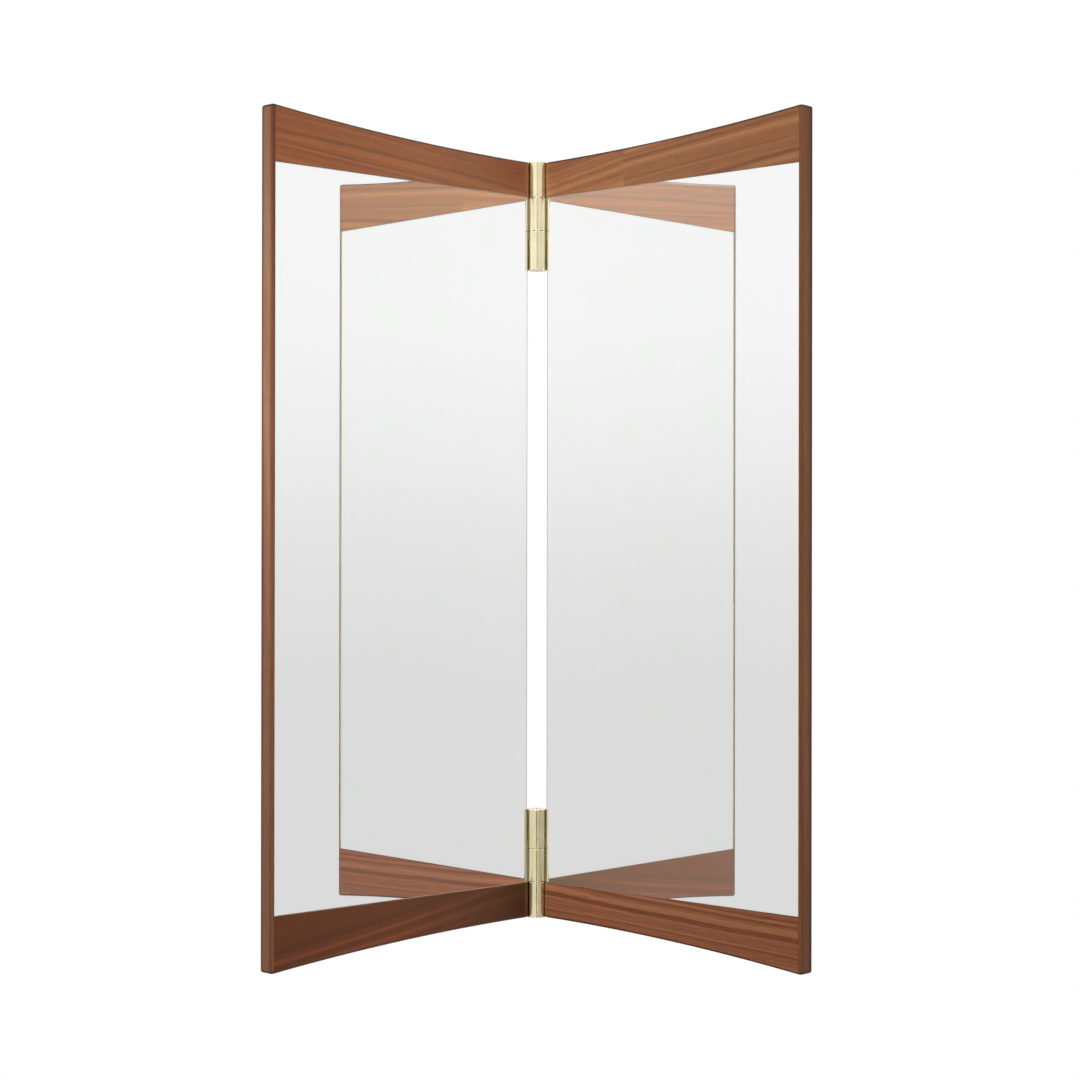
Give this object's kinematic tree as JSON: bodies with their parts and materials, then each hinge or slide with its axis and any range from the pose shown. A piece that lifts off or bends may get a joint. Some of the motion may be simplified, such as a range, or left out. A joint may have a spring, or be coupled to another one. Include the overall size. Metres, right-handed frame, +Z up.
{
  "type": "vanity mirror",
  "caption": "Wall-hung vanity mirror whose walnut-framed panels, arched at top and bottom, fold like a book on brass barrel hinges fixed to the wall.",
  "frame": {"origin": "on the wall plane, on the hinge line at half height, the centre of the four wall screw holes", "axes": "+Z up along the hinge line, +Y into the wall, the mirrors face -Y"},
  "size_m": [0.5486, 0.2752, 0.8626],
  "materials": {
    "walnut": "oiled, satin",
    "plywood": "sanded",
    "mirror": "silvered float glass",
    "foam_tape": "matte",
    "brass": "satin, turned",
    "steel": "zinc plated",
    "bumper_rubber": "matte",
    "bronze": "rolled, dull"
  },
  "bodies": {
    "wall_mount": {"top_wall_knuckle": "brass", "bottom_wall_knuckle": "brass", "top_wall_plate": "brass", "bottom_wall_plate": "brass", "wall_plate_bolts": "steel", "top_hinge_pin": "steel", "bottom_hinge_pin": "steel", "thrust_washers": "bronze", "wall_barrel_plugs": "brass"},
    "left_panel": {"left_outer_stile": "walnut", "left_top_rail": "walnut", "left_bottom_rail": "walnut", "left_hinge_stile": "walnut", "left_backing_board": "plywood", "left_mirror_glass": "mirror", "left_mirror_tape": "foam_tape", "left_wall_bumpers": "bumper_rubber", "left_top_hinge_leaf": "brass", "left_bottom_hinge_leaf": "brass", "left_leaf_screws": "steel", "left_barrel_plugs": "brass"},
    "right_panel": {"right_outer_stile": "walnut", "right_top_rail": "walnut", "right_bottom_rail": "walnut", "right_hinge_stile": "walnut", "right_backing_board": "plywood", "right_mirror_glass": "mirror", "right_mirror_tape": "foam_tape", "right_wall_bumpers": "bumper_rubber", "right_top_hinge_leaf": "brass", "right_bottom_hinge_leaf": "brass", "right_leaf_screws": "steel"}
  },
  "joints": [
    {"name": "left_panel_swing", "type": "hinge", "parent": "wall_mount", "child": "left_panel", "pos_m": [0, -0.0255, 0], "axis": [0, 0, -1], "range_deg": [-46.2, 43.8]},
    {"name": "right_panel_swing", "type": "hinge", "parent": "wall_mount", "child": "right_panel", "pos_m": [0, -0.0255, 0], "axis": [0, 0, 1], "range_deg": [-46.2, 43.8]}
  ]
}
